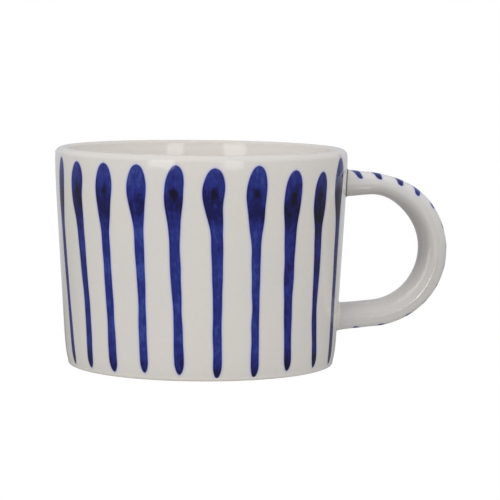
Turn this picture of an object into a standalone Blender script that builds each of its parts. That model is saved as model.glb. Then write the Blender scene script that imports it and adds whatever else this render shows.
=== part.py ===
"""A stoneware mug: a cup with a rounded rim, the ring that it stands on, a ring handle, and the two
pads of joining slip that hold the handle to the wall.

Metres, +Z up. The mug stands on z = 0, and the origin is under the middle of its bounding box, so the
axis that the cup was turned on lies at half of what the rim's radius lacks of the handle's reach. The
handle points along +X.
"""

import math

import bmesh
import bpy

# Cup
CUP_HEIGHT = 0.0706
RIM_RADIUS = 0.0475
FLARE = 0.0585  # how much the wall's radius grows for each metre of height
TUCK = 0.00105  # how far the wall draws in above the foot, fading out over TUCK_HEIGHT
TUCK_HEIGHT = 0.0028
RIM_CLOSE = 0.00039  # how far the wall straightens under the rim, fading out over RIM_CLOSE_HEIGHT
RIM_CLOSE_HEIGHT = 0.0052
WALL_THICKNESS = 0.0045
LIP_RADIUS = WALL_THICKNESS / 2
FLOOR_TOP = 0.0066
FLOOR_FILLET = 0.007

# Foot ring
FOOT_HEIGHT = 0.0012
FOOT_INNER_RADIUS = 0.037
FOOT_CORNER = 0.00095
FOOT_INNER_CHAMFER = 0.0006

# Handle: a roll of clay bent to half a ring, with a short straight tail at each end
RING_RADIUS = 0.02132  # to the middle of the roll
RING_CENTRE_OUT = 0.05414  # from the cup's axis
RING_CENTRE_UP = 0.0380
RING_TOP_DEG = 90.0
RING_BOTTOM_DEG = -84.0  # past the lowest point the roll runs on straight, a little downhill to the wall
TAIL_START_OUT = 0.0425  # both tails begin inside the wall, which then trims them
ROLL_THICKNESS = 0.0088
ROLL_WIDTH_RATIO = 1.2  # across the handle, against its thickness in the plane of the ring
THIN_SPOT, THIN_DEG, THIN_SPREAD_DEG = 0.0015, 73.0, 22.0
FULL_SPOT, FULL_DEG, FULL_SPREAD_DEG = 0.0010, -22.0, 42.0
END_FLARE = 0.0007
END_FLARE_LENGTH = 0.003

# Slip joints
GAP = 0.0003  # between pieces that touch
SLIP_THICKNESS = 0.0006
SLIP_INSET = 0.0003  # the pad stops short of the roll's outline, which leaves a crease
SLIP_REACH = 0.0500  # from the cup's axis: each pad is trimmed from the stretch of tail up to here

# Smoothness
TURN_STEPS = 72
OUTER_WALL_STEPS = 13
INNER_WALL_STEPS = 7
ENVELOPE_STEPS = 10
LOW_STEP_CROWDING = 1.4  # above 1 the steps up the wall are shorter near the foot, where it bends most
LIP_STEPS = 10
FLOOR_FILLET_STEPS = 5
FOOT_CORNER_STEPS = 4
RING_STEP_DEG = 5.0
TAIL_STEP = 0.0015
ROLL_SIDES = 20
SMOOTH_DEG = 40.0
WELD = 1e-6

# Each finish: its colour, then its roughness
CUP_GLAZE = (0.60, 0.57, 0.53), 0.12
HANDLE_GLAZE = (0.58, 0.55, 0.51), 0.12
BARE_CLAY = (0.50, 0.38, 0.27), 0.85
DRIED_SLIP = (0.48, 0.44, 0.39), 0.35


def clear_scene():
    for obj in list(bpy.data.objects):
        bpy.data.objects.remove(obj)


def clay(name, colour, roughness):
    """A Principled material with no metal in it."""
    material = bpy.data.materials.new(name)
    material.use_nodes = True
    shader = material.node_tree.nodes["Principled BSDF"]
    shader.inputs["Base Color"].default_value = (*colour, 1.0)
    shader.inputs["Roughness"].default_value = roughness
    shader.inputs["Metallic"].default_value = 0.0
    return material


def place(name, mesh, axis, material=None):
    """An object for this mesh, hung on the cup's axis. Without a material it is a hidden cutter."""
    obj = bpy.data.objects.new(name, mesh)
    bpy.context.scene.collection.objects.link(obj)
    obj.parent = axis
    if material is None:
        obj.hide_render = True
        obj.display_type = "WIRE"
    else:
        mesh.materials.append(material)
    return obj


def finished(mesh_name, shape):
    """The mesh of a bmesh shape, facing out, smooth, with its real corners sharp."""
    bmesh.ops.recalc_face_normals(shape, faces=shape.faces)
    mesh = bpy.data.meshes.new(mesh_name)
    shape.to_mesh(mesh)
    shape.free()
    mesh.shade_smooth()
    mesh.set_sharp_from_angle(angle=math.radians(SMOOTH_DEG))
    return mesh


def turned(mesh_name, outline, closed=False):
    """A solid turned round the Z axis from an outline of (radius, height) points.

    An open outline starts and ends on the axis. A closed one is the section of a ring.
    """
    shape = bmesh.new()
    points = [shape.verts.new((radius, 0.0, height)) for radius, height in outline]
    edges = [shape.edges.new(pair) for pair in zip(points, points[1:])]
    if closed:
        edges.append(shape.edges.new((points[-1], points[0])))
    bmesh.ops.spin(
        shape,
        geom=points + edges,
        axis=(0.0, 0.0, 1.0),
        cent=(0.0, 0.0, 0.0),
        steps=TURN_STEPS,
        angle=math.tau,
    )
    bmesh.ops.remove_doubles(shape, verts=shape.verts, dist=WELD)
    return finished(mesh_name, shape)


def arc(centre_radius, centre_height, radius, start_deg, end_deg, steps):
    """Points along an arc of the outline, both ends included."""
    points = []
    for step in range(steps + 1):
        angle = math.radians(start_deg + (end_deg - start_deg) * step / steps)
        points.append(
            (
                centre_radius + radius * math.cos(angle),
                centre_height + radius * math.sin(angle),
            )
        )
    return points


LIP_START = CUP_HEIGHT - LIP_RADIUS


def wall_radius(height):
    """The cup's outer radius: a straight flare that draws in at the foot and straightens at the rim."""
    flared = RIM_RADIUS + RIM_CLOSE - FLARE * (LIP_START - height)
    tucked = TUCK * math.exp(-height / TUCK_HEIGHT)
    closed = RIM_CLOSE * math.exp(-(LIP_START - height) / RIM_CLOSE_HEIGHT)
    return flared - tucked - closed


def wall_heights(low, high, steps):
    """Heights up the wall, closer together near the lower end."""
    rise = high - low
    return [low + rise * (step / steps) ** LOW_STEP_CROWDING for step in range(steps + 1)]


def make_cup_body(axis):
    bottom = FOOT_HEIGHT + GAP
    outline = [(0.0, bottom)]
    outer = wall_heights(bottom, LIP_START, OUTER_WALL_STEPS)
    outline += [(wall_radius(z), z) for z in outer]
    lip_middle = RIM_RADIUS - LIP_RADIUS
    outline += arc(lip_middle, LIP_START, LIP_RADIUS, 0.0, 180.0, LIP_STEPS)[1:]
    fillet_up = FLOOR_TOP + FLOOR_FILLET
    inner = wall_heights(fillet_up, LIP_START, INNER_WALL_STEPS)[1:-1]
    outline += [(wall_radius(z) - WALL_THICKNESS, z) for z in reversed(inner)]
    fillet_out = wall_radius(fillet_up) - WALL_THICKNESS - FLOOR_FILLET
    outline += arc(fillet_out, fillet_up, FLOOR_FILLET, 0.0, -90.0, FLOOR_FILLET_STEPS)
    outline.append((0.0, FLOOR_TOP))
    glaze = clay("cup_body_glaze", *CUP_GLAZE)
    return place("cup_body", turned("cup_body", outline), axis, glaze)


def make_foot_ring(axis):
    outer = wall_radius(FOOT_HEIGHT)
    outline = [
        (FOOT_INNER_RADIUS, FOOT_HEIGHT),
        (FOOT_INNER_RADIUS, FOOT_INNER_CHAMFER),
        (FOOT_INNER_RADIUS + FOOT_INNER_CHAMFER, 0.0),
    ]
    corner_middle = outer - FOOT_CORNER
    outline += arc(corner_middle, FOOT_CORNER, FOOT_CORNER, -90.0, 0.0, FOOT_CORNER_STEPS)
    outline.append((outer, FOOT_HEIGHT))
    bare = clay("foot_ring_clay", *BARE_CLAY)
    return place("foot_ring", turned("foot_ring", outline, closed=True), axis, bare)


def envelope(name, offset, axis):
    """A hidden solid that stands this far outside the wall, over the heights where the handle meets it."""
    low = RING_CENTRE_UP - RING_RADIUS - ROLL_THICKNESS
    high = RING_CENTRE_UP + RING_RADIUS + ROLL_THICKNESS
    heights = wall_heights(low, high, ENVELOPE_STEPS)
    outline = [(0.0, low)]
    outline += [(wall_radius(z) + offset, z) for z in heights]
    outline.append((0.0, high))
    return place(name, turned(name, outline), axis)


def trim(obj, operation, cutter):
    modifier = obj.modifiers.new(f"{operation.lower()} {cutter.name}", "BOOLEAN")
    modifier.operation = operation
    modifier.solver = "EXACT"
    modifier.object = cutter


def bell(value, middle, spread):
    return math.exp(-(((value - middle) / spread) ** 2))


def roll_thickness(bend_deg, out_from_wall):
    """How thick the roll is: thinnest just past the top, fullest at the side, spread where it joins."""
    thickness = ROLL_THICKNESS
    thickness -= THIN_SPOT * bell(bend_deg, THIN_DEG, THIN_SPREAD_DEG)
    thickness += FULL_SPOT * bell(bend_deg, FULL_DEG, FULL_SPREAD_DEG)
    return thickness + END_FLARE * math.exp(-max(out_from_wall, 0.0) / END_FLARE_LENGTH)


def handle_reach():
    """How far the outside of the ring stands from the cup's axis."""
    widest_out = RING_CENTRE_OUT + RING_RADIUS
    return widest_out + roll_thickness(0.0, widest_out - wall_radius(RING_CENTRE_UP)) / 2


def roll_stations():
    """(out, up, bend) along the middle of the roll, from inside the wall at the top to inside it below.

    Bend is the angle round the ring in degrees, carried on along the straight tails at the same rate.
    """
    stations = []
    for end_deg, heading in ((RING_TOP_DEG, 1.0), (RING_BOTTOM_DEG, -1.0)):
        angle = math.radians(end_deg)
        out = RING_CENTRE_OUT + RING_RADIUS * math.cos(angle)
        up = RING_CENTRE_UP + RING_RADIUS * math.sin(angle)
        slope = heading / math.tan(angle)
        steps = math.ceil((out - TAIL_START_OUT) / TAIL_STEP)
        tail = []
        for step in range(1, steps + 1):
            back = (out - TAIL_START_OUT) * step / steps
            bend = end_deg + heading * math.degrees(back / RING_RADIUS)
            tail.append((out - back, up + heading * slope * back, bend))
        stations.append(tail)
    upper_tail, lower_tail = stations
    ring = []
    steps = round((RING_TOP_DEG - RING_BOTTOM_DEG) / RING_STEP_DEG)
    for step in range(steps + 1):
        bend = RING_TOP_DEG + (RING_BOTTOM_DEG - RING_TOP_DEG) * step / steps
        angle = math.radians(bend)
        out = RING_CENTRE_OUT + RING_RADIUS * math.cos(angle)
        ring.append((out, RING_CENTRE_UP + RING_RADIUS * math.sin(angle), bend))
    return upper_tail[::-1] + ring + lower_tail


def roll_mesh(mesh_name, stations, inset):
    """The roll as a bevelled curve turned into a mesh, then widened across to its oval section.

    A round bevel of resolution n has 2 n + 4 sides.
    """
    curve = bpy.data.curves.new(mesh_name + "_path", "CURVE")
    curve.dimensions = "3D"
    curve.bevel_depth = 1.0
    curve.bevel_resolution = (ROLL_SIDES - 4) // 2
    curve.use_fill_caps = True
    path = curve.splines.new("POLY")
    path.points.add(len(stations) - 1)
    for point, (out, up, bend) in zip(path.points, stations):
        point.co = (out, 0.0, up, 1.0)
        point.radius = roll_thickness(bend, out - wall_radius(up)) / 2 - inset
    guide = bpy.data.objects.new(mesh_name + "_path", curve)
    bpy.context.scene.collection.objects.link(guide)
    mesh = bpy.data.meshes.new_from_object(
        guide.evaluated_get(bpy.context.evaluated_depsgraph_get())
    )
    bpy.data.objects.remove(guide)
    shape = bmesh.new()
    shape.from_mesh(mesh)
    bpy.data.meshes.remove(mesh)
    bmesh.ops.remove_doubles(shape, verts=shape.verts, dist=WELD)
    bmesh.ops.scale(shape, vec=(1.0, ROLL_WIDTH_RATIO, 1.0), verts=shape.verts)
    return finished(mesh_name, shape)


def make_handle(axis, joint_envelope):
    glaze = clay("handle_glaze", *HANDLE_GLAZE)
    handle = place("handle", roll_mesh("handle", roll_stations(), 0.0), axis, glaze)
    trim(handle, "DIFFERENCE", joint_envelope)
    return handle


def make_slip_joint(name, upper, axis, wall_envelope, pad_envelope):
    """A thin pad of slip, as curved as the wall it is pressed on, just inside the roll's outline."""
    tail = [
        station
        for station in roll_stations()
        if station[0] < SLIP_REACH and (station[1] > RING_CENTRE_UP) == upper
    ]
    slip = clay(name + "_slip", *DRIED_SLIP)
    pad = place(name, roll_mesh(name, tail, SLIP_INSET), axis, slip)
    trim(pad, "INTERSECT", pad_envelope)
    trim(pad, "DIFFERENCE", wall_envelope)
    return pad


def build():
    clear_scene()
    axis = bpy.data.objects.new("cup_axis", None)
    bpy.context.scene.collection.objects.link(axis)
    axis.location = ((RIM_RADIUS - handle_reach()) / 2, 0.0, 0.0)

    make_cup_body(axis)
    make_foot_ring(axis)
    wall_envelope = envelope("wall_envelope", GAP, axis)
    pad_envelope = envelope("pad_envelope", GAP + SLIP_THICKNESS, axis)
    joint_envelope = envelope("joint_envelope", GAP + SLIP_THICKNESS + GAP, axis)
    make_handle(axis, joint_envelope)
    make_slip_joint("upper_slip_joint", True, axis, wall_envelope, pad_envelope)
    make_slip_joint("lower_slip_joint", False, axis, wall_envelope, pad_envelope)


build()
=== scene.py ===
# %% [markdown]
# # A painted stoneware mug
# The mug is a low wide cup, cast or thrown in stoneware, with a ring handle luted on. Tall cobalt
# strokes run down the wall and short dabs cross the back of the handle. A clear glaze lies over all
# of it, and only the ring that stands in the kiln is bare.
#
# The sizes come from the fixed frame, which is loaded first and never moved. Every piece here stands
# in for one of its nodes, or lies on one as paint.

import math
import random

import bmesh
import bpy
import numpy as np
from mathutils import Matrix, Vector


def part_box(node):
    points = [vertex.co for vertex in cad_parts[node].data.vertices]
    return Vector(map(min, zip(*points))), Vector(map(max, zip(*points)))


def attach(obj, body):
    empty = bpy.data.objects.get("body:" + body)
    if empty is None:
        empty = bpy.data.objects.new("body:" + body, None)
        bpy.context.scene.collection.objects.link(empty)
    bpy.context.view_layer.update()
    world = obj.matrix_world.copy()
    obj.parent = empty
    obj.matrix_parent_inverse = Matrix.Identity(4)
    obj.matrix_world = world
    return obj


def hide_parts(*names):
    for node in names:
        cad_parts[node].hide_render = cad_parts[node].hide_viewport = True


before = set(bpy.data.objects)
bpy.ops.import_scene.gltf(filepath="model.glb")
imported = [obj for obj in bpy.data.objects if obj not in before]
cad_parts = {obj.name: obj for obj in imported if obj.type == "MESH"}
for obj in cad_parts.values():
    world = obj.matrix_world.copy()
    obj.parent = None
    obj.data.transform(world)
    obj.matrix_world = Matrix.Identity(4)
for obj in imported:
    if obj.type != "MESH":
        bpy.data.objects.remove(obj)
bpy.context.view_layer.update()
print("nodes:", sorted(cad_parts))

# %% [markdown]
# ## Measures
# A potter works in millimetres from the wheel's centre, so every shape below is worked out in
# millimetres from the cup's own axis, and one helper turns it into Blender's metres at the very end.
# The driving sizes are read from the boxes of the frame's nodes rather than typed in again. That way
# the looks follow the frame if the frame changes.

# %% Read the driving sizes
MM = 0.001
cup_low, cup_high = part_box("cup_body")
foot_low, foot_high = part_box("foot_ring")
handle_low, handle_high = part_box("handle")
AXIS_X = (cup_low.x + cup_high.x) / 2
RIM_RADIUS = (cup_high.y - cup_low.y) / 2 / MM
CUP_HEIGHT = cup_high.z / MM
FOOT_HEIGHT = foot_high.z / MM
FOOT_RADIUS = (foot_high.y - foot_low.y) / 2 / MM
HANDLE_REACH = (handle_high.x - AXIS_X) / MM
print(f"rim {2 * RIM_RADIUS:.1f} mm across, {CUP_HEIGHT:.1f} mm tall, handle out to {HANDLE_REACH:.1f} mm")

# %% [markdown]
# ## The line of the wall
# The wall is one straight flare. It tucks in just above the foot, and it straightens a little under
# the rim, where the clay was pressed. Two fading exponentials say that in one line each, which is
# easier to steer than a list of points, and it gives the radius at any height. The paint needs that
# later, because each stroke has to lie exactly on the wall.

# %% Wall radius at a height
WALL_THICKNESS = 4.5
LIP_RADIUS = WALL_THICKNESS / 2
LIP_START = CUP_HEIGHT - LIP_RADIUS
FLARE = 0.0585
TUCK, TUCK_HEIGHT = 1.05, 2.8
RIM_CLOSE, RIM_CLOSE_HEIGHT = 0.39, 5.2


def wall_radius(height):
    """The outer radius of the wall at this height, both in millimetres."""
    flared = RIM_RADIUS + RIM_CLOSE - FLARE * (LIP_START - height)
    tucked = TUCK * np.exp(-height / TUCK_HEIGHT)
    closed = RIM_CLOSE * np.exp(-(LIP_START - height) / RIM_CLOSE_HEIGHT)
    return flared - tucked - closed


print(f"wall radius {wall_radius(1.2):.2f} mm at the foot, {wall_radius(LIP_START):.2f} mm at the lip")

# %% [markdown]
# ## A cup made by hand
# No fired cup is a true round: it leans a hair, its rim dips on one side, and it is a few hundredths
# of a millimetre oval. The same small errors have to move the wall, the paint and the foot together,
# so they live in one function that every piece of the cup passes through. Angles are counted from the
# front of the cup towards the handle.

# %% Place a point of the cup
LEAN = -0.0018
RIM_DIP = -0.0025
OVAL, THREE_LOBED = 0.035, 0.02


def cup_point(angle, out, height):
    """Where a point at this angle (radians), radius and height ends up, with the hand's small errors."""
    rise = height / CUP_HEIGHT
    stray = rise * (OVAL * np.cos(2 * angle + 0.7) + THREE_LOBED * np.cos(3 * angle + 2.1))
    x = (out + stray) * np.sin(angle)
    y = -(out + stray) * np.cos(angle)
    return np.stack([x + LEAN * height, y, height + RIM_DIP * x * rise**4], axis=-1)


# %% [markdown]
# ## From points to a mesh
# A turned cup, a rolled handle and a film of paint are all sheets of points in rows and columns. One
# helper makes them: it joins neighbouring points into four-sided faces, closes the sheet around when
# asked, and stores any numbers that the finishes want to read on the points. Doing this in code keeps
# full control of where the points go, where a modifier would place them for us.

# %% Make a sheet of points into an object
WELD = 1e-7
SHARP_DEG = 50.0


def make_sheet(name, rows, around=False, solid=False, marks=None):
    """An object whose faces run through rows of points, in millimetres from the cup's axis.

    around joins the last column to the first, and solid also turns the faces to point outwards.
    """
    rows = np.asarray(rows, float)
    count, width = rows.shape[:2]
    points = rows.reshape(-1, 3) * MM + np.array([AXIS_X, 0.0, 0.0])
    faces = []
    for row in range(count - 1):
        for column in range(width if around else width - 1):
            following = (column + 1) % width
            upper, lower = row * width, (row + 1) * width
            faces.append((upper + column, lower + column, lower + following, upper + following))
    mesh = bpy.data.meshes.new(name)
    mesh.from_pydata(points.tolist(), [], faces)
    for mark, values in (marks or {}).items():
        layer = mesh.attributes.new(mark, "FLOAT", "POINT")
        layer.data.foreach_set("value", np.broadcast_to(values, (count, width)).astype(np.float32).ravel())
    shape = bmesh.new()
    shape.from_mesh(mesh)
    bmesh.ops.remove_doubles(shape, verts=shape.verts, dist=WELD)
    if solid:
        bmesh.ops.recalc_face_normals(shape, faces=shape.faces)
    shape.to_mesh(mesh)
    shape.free()
    mesh.shade_smooth()
    mesh.set_sharp_from_angle(angle=math.radians(SHARP_DEG))
    piece = bpy.data.objects.new(name, mesh)
    bpy.context.scene.collection.objects.link(piece)
    return piece


def arc(centre_out, centre_height, radius, start_deg, end_deg, steps):
    """Points (radius from the axis, height) along an arc of an outline, both ends included."""
    turn = np.radians(np.linspace(start_deg, end_deg, steps + 1))
    return np.stack([centre_out + radius * np.cos(turn), centre_height + radius * np.sin(turn)], axis=-1)


def smoothstep(low, high, value):
    """0 below low, 1 above high, and an even glide between."""
    share = np.clip((value - low) / (high - low), 0.0, 1.0)
    return share * share * (3.0 - 2.0 * share)


# %% [markdown]
# ## The cup
# One outline is turned round the axis: from the middle of the underside out over the foot, up the
# wall, over the rounded lip, down inside, round the fillet and across the floor. The glaze stops a
# fifth of a millimetre above the table, where a potter wipes it back so that the cup doesn't stick to
# the kiln shelf. The lip gets many short steps because the lights are mirrored in it. On the lip's
# crown the glaze runs thin, and the sheet remembers that as a mark.

# %% Turn the cup
AROUND = 288
GLAZE_LINE = 0.22
UNDERSIDE = 1.5
FOOT_CORNER = 0.95
FLOOR_TOP, FLOOR_FILLET = 6.6, 7.0
GLAZE_BEAD = 0.12
CROWN_DEPTH, CROWN_THIN = 1.5, 0.7
INNER_LIP_RADIUS, INNER_LIP_TURN = 1.5, 71.0
INNER_TAPER = 2.8


def inner_wall(height):
    return wall_radius(height) - WALL_THICKNESS


def cup_outline():
    """The cup's outline as (radius, height) rows, from the middle underneath to the middle inside."""
    corner_out = FOOT_RADIUS - FOOT_CORNER
    line_deg = -math.degrees(math.asin((FOOT_CORNER - GLAZE_LINE) / FOOT_CORNER))
    under = [[0.0, UNDERSIDE], [20.0, UNDERSIDE], [36.0, UNDERSIDE], [corner_out - 1.0, UNDERSIDE - 0.1]]
    edge = arc(corner_out, FOOT_CORNER, FOOT_CORNER - GLAZE_BEAD, line_deg, line_deg, 0)
    corner = arc(corner_out, FOOT_CORNER, FOOT_CORNER, line_deg, 0.0, 6)
    low = np.linspace(FOOT_HEIGHT, 12.0, 22)
    high = np.linspace(12.0, LIP_START, 40)[1:]
    wall = [[wall_radius(height), height] for height in np.concatenate([low, high])]
    lip = arc(RIM_RADIUS - LIP_RADIUS, LIP_START, LIP_RADIUS, 0.0, 90.0, 16)[1:]
    turn = np.radians(np.linspace(90.0, 90.0 + INNER_LIP_TURN, 12)[1:, None])
    centre = [[RIM_RADIUS - LIP_RADIUS, CUP_HEIGHT - INNER_LIP_RADIUS]]
    inner_lip = np.array(centre) + INNER_LIP_RADIUS * np.hstack([np.cos(turn), np.sin(turn)])
    thinned = inner_lip[-1, 0] - inner_wall(inner_lip[-1, 1])
    fillet_up = FLOOR_TOP + FLOOR_FILLET
    depths = (inner_lip[-1, 1] - fillet_up) * np.linspace(0.0, 1.0, 44)[1:] ** 1.6
    lip_end = inner_lip[-1, 1]
    inside = [
        [inner_wall(lip_end - depth) + thinned * math.exp(-depth / INNER_TAPER), lip_end - depth]
        for depth in depths
    ]
    fillet_out = inside[-1][0] - FLOOR_FILLET
    fillet = arc(fillet_out, fillet_up, FLOOR_FILLET, 0.0, -90.0, 14)[1:]
    floor = [[out, FLOOR_TOP] for out in (24.0, 12.0, 4.0, 0.0)]
    return np.concatenate([under, edge, corner, wall, lip, inner_lip, inside, fillet, floor])


def turn_outline(outline):
    """Rows of points for an outline turned round the cup's axis, one row for each outline point."""
    angles = np.arange(AROUND) * math.tau / AROUND
    return cup_point(angles[None, :], outline[:, :1], outline[:, 1:] + 0.0 * angles[None, :])


outline = cup_outline()
crown = smoothstep(CUP_HEIGHT - CROWN_DEPTH, CUP_HEIGHT, outline[:, 1])
past_crown = np.arange(len(outline)) > np.argmax(outline[:, 1])
# Painted light: this mark paints the whole inside of the cup, walls and floor, lighter.
inside = past_crown * smoothstep(0.2, 3.0, CUP_HEIGHT - outline[:, 1])
glazed_cup = make_sheet(
    "glazed_cup",
    turn_outline(outline),
    around=True,
    solid=True,
    marks={"thin_glaze_and_painted_shade": CROWN_THIN * crown[:, None], "painted_light_inside": inside[:, None]},
)
print("glazed_cup:", len(glazed_cup.data.polygons), "faces")

# %% [markdown]
# ## The foot
# Under the cup a low ring of bare clay carries it. It is ground flat after the firing, so its rubbing
# face is level and its edges are only just broken. It sits a hair inside the glaze, which is how a
# real glaze line looks: the clay goes on under the glaze.

# %% Turn the foot ring
FOOT_INNER = 37.0
FOOT_CHAMFER = 0.6


def foot_outline():
    """The ring's closed section as (radius, height) rows."""
    out = FOOT_RADIUS - GLAZE_BEAD
    outer = arc(out - FOOT_CORNER, FOOT_CORNER, FOOT_CORNER, 0.0, -90.0, 8)
    inner = arc(FOOT_INNER + FOOT_CHAMFER, FOOT_CHAMFER, FOOT_CHAMFER, -90.0, -180.0, 5)
    top = [[FOOT_INNER, FOOT_HEIGHT + 0.1], [out, FOOT_HEIGHT + 0.1]]
    return np.concatenate([outer, inner, top, outer[:1]])


bare_foot = make_sheet("bare_foot", turn_outline(foot_outline()), around=True, solid=True)
print("bare_foot:", len(bare_foot.data.polygons), "faces")

# %% [markdown]
# ## The handle's line
# The handle is a roll of clay bent to half a ring, and its two ends run straight to the wall. A
# place on it has two names: the bend, an angle round the ring that carries on along the straight
# ends, and the turn, an angle round the roll that is 0 on the outer back and 90 degrees on the side
# that faces front. The roll isn't even: a thumb left it thinner just past the top, it is fullest at
# the side, and it spreads where it was pressed on. The knife that trimmed it left three soft edges,
# and the glaze is duller on the side that faces front, except on those edges.

# %% Measures along the handle
RING_RADIUS = 21.32
RING_OUT, RING_UP = 54.14, 38.0
TOP_BEND, BOTTOM_BEND = 90.0, -84.0
ROLL_THICKNESS, ROLL_WIDTH_RATIO = 8.65, 1.2
THIN_SPOT, THIN_DEG, THIN_SPREAD = 1.75, 76.0, 24.0
FULL_SPOT, FULL_DEG, FULL_SPREAD = 0.85, -20.0, 42.0
END_FLARE, END_FLARE_LENGTH = 0.45, 3.0
# Each edge: its turn, its spread and its height, then the bends where it starts and ends.
RIDGES = (
    (76.0, 8.5, 0.13, -2.0, -88.0),
    (119.0, 5.0, 0.10, -42.0, -62.0),
    (99.0, 5.0, 0.10, -70.0, -96.0),
)
RIDGE_FADE = 8.0
DULL_TURN_DEG, DULL_SPREAD_DEG = 72.0, 38.0
RIDGE_WIPE, RIDGE_SHINE = 1.5, 0.72  # how fast, and how far at most, an edge keeps its shine
# Painted shade on the handle: how dark its glaze colour is painted on the inside of the roll, and a band
# across the side of the ring.
ROLL_PAINTED_SHADE, TOP_PAINTED_SHADE, TOP_PAINTED_SHADE_DEG, TOP_PAINTED_SHADE_SPREAD = 0.24, 0.48, 20.0, 56.0


def bell(value, middle, spread):
    """1 at the middle, fading to 0 on both sides."""
    return np.exp(-(((value - middle) / spread) ** 2))


def roll_centre(bend):
    """(out, up) of the roll's middle at this bend, and the direction (out, up) of its outer back."""
    held = np.clip(bend, BOTTOM_BEND, TOP_BEND)
    turn = np.radians(held)
    out = RING_OUT + RING_RADIUS * np.cos(turn)
    up = RING_UP + RING_RADIUS * np.sin(turn)
    back = np.radians(np.abs(bend - held)) * RING_RADIUS
    downhill = np.where(bend < BOTTOM_BEND, 1.0 / math.tan(math.radians(BOTTOM_BEND)), 0.0)
    return out - back, up + downhill * back, np.cos(turn), np.sin(turn)


def roll_thickness(bend):
    """How thick the roll is at this bend, in the plane of the ring."""
    out, up, _, _ = roll_centre(bend)
    gap = np.maximum(out - wall_radius(up), 0.0)
    thickness = ROLL_THICKNESS + END_FLARE * np.exp(-gap / END_FLARE_LENGTH)
    thinned = thickness - THIN_SPOT * bell(bend, THIN_DEG, THIN_SPREAD)
    return thinned + FULL_SPOT * bell(bend, FULL_DEG, FULL_SPREAD)


def on_ridge(bend, turn, which):
    """1 on top of one of the fettled edges, and 0 away from it."""
    turn_deg, spread, _, first, last = which
    length = smoothstep(first, first - RIDGE_FADE, bend) * smoothstep(last, last + RIDGE_FADE, bend)
    return length * bell(np.degrees(turn), turn_deg, spread)


def ridges(bend, turn):
    """How far the edges that the fettling knife left stand up at this place of the roll."""
    return sum(which[2] * on_ridge(bend, turn, which) for which in RIDGES)


def dull_on_roll(bend, turn):
    """How matt the glaze is here: it went dull on the side that faces front, but not on the fettled edges."""
    side = bell(np.degrees(turn), DULL_TURN_DEG, DULL_SPREAD_DEG)
    wiped = sum(RIDGE_WIPE * on_ridge(bend, turn, which) for which in RIDGES)
    return side * (1.0 - np.clip(wiped, 0.0, RIDGE_SHINE))


def roll_point(bend, turn, lift=0.0):
    """The point of the roll's surface at this bend (degrees) and turn (radians), raised by lift."""
    out, up, along_out, along_up = roll_centre(bend)
    half = roll_thickness(bend) / 2 + ridges(bend, turn)
    raised = (half + lift) * np.cos(turn)
    side = (half * ROLL_WIDTH_RATIO + lift) * np.sin(turn)
    x = out + along_out * raised
    return np.stack([x, -side + 0.0 * x, up + along_up * raised], axis=-1)


def painted_shade_on_roll(bend, turn):
    """Painted shade on the handle: how much darker its glaze colour is here, most on the inside of the roll
    and across the side of the ring.
    """
    from_back = 180.0 - np.abs(np.degrees(turn) % 360.0 - 180.0)
    inner = 0.25 + 0.5 * smoothstep(35.0, 85.0, from_back) + 0.85 * smoothstep(80.0, 135.0, from_back)
    return (ROLL_PAINTED_SHADE + TOP_PAINTED_SHADE * bell(bend, TOP_PAINTED_SHADE_DEG, TOP_PAINTED_SHADE_SPREAD)) * inner


def wall_bend(start, towards):
    """The bend at which the roll's middle meets the wall."""
    bend = start
    while roll_centre(bend)[0] > wall_radius(roll_centre(bend)[1]):
        bend += towards * 0.1
    return bend


UPPER_END = wall_bend(TOP_BEND, 1.0)
LOWER_END = wall_bend(BOTTOM_BEND, -1.0)
print(f"the roll meets the wall at bends of {UPPER_END:.1f} and {LOWER_END:.1f} degrees")

# %% [markdown]
# ## The handle
# The roll's sections stand in rows along its line. The last row at each end is pushed in to the
# wall's own curve, as a potter cuts the ends to fit, so the handle meets the cup all round instead of
# with a flat saw cut.

# %% Roll the handle and fit its ends
ROLL_SIDES = 72
FINE_FROM_DEG, FINE_TO_DEG = 64.0, 132.0
SUNK = 0.15


fine = np.arange(FINE_FROM_DEG, FINE_TO_DEG)
even = np.linspace(0.0, 360.0, ROLL_SIDES, endpoint=False)
even = even[(even < FINE_FROM_DEG) | (even > FINE_TO_DEG)]
turns = np.radians(np.sort(np.concatenate([even, fine])))


def fitted_end(bend, grow, stand_off):
    """The roll's section at one end, grown by some millimetres and laid on the wall."""
    section = roll_point(bend, turns, grow)
    radius = wall_radius(section[:, 2]) + stand_off
    section[:, 0] = np.sqrt(radius**2 - section[:, 1] ** 2)
    return section


bends = np.concatenate([
    np.linspace(UPPER_END - 1.0, TOP_BEND, 14)[:-1],
    np.linspace(TOP_BEND, BOTTOM_BEND, 100),
    np.linspace(BOTTOM_BEND, LOWER_END + 1.0, 14)[1:],
])
sections = [fitted_end(UPPER_END, 0.0, -SUNK)]
sections += [roll_point(bend, turns) for bend in bends]
sections += [fitted_end(LOWER_END, 0.0, -SUNK)]
bend_of_row = np.concatenate([[UPPER_END], bends, [LOWER_END]])
ring_handle = make_sheet(
    "ring_handle",
    sections,
    around=True,
    solid=True,
    marks={
        # The first mark here is painted shade: the roll is painted darker on its inside and across the side
        # of the ring.
        "thin_glaze_and_painted_shade": painted_shade_on_roll(bend_of_row[:, None], turns[None, :]),
        "dull": dull_on_roll(bend_of_row[:, None], turns[None, :]),
    },
)
print("ring_handle:", len(ring_handle.data.polygons), "faces")

# %% [markdown]
# ## The luted joints
# The handle is stuck on with slip. At the lower joint a wet finger smoothed the slip to a small
# hollow fillet. At the upper one a hairline stayed open as a narrow crease; its dark colour is partly
# dirt and partly painted shade in the crease. Both are strips that run once round the end of the
# roll, so one function lays them: a list of how far each row grows from the roll and how far it
# stands off the wall.

# %% Lay the slip round both ends of the roll
FILLET = 0.8
CREASE = 0.17


def lay_slip(name, bend, section):
    """A strip of slip round one end of the roll. section lists (growth, stand-off) in millimetres."""
    return make_sheet(name, [fitted_end(bend, grow, off) for grow, off in section], around=True, solid=True)


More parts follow.
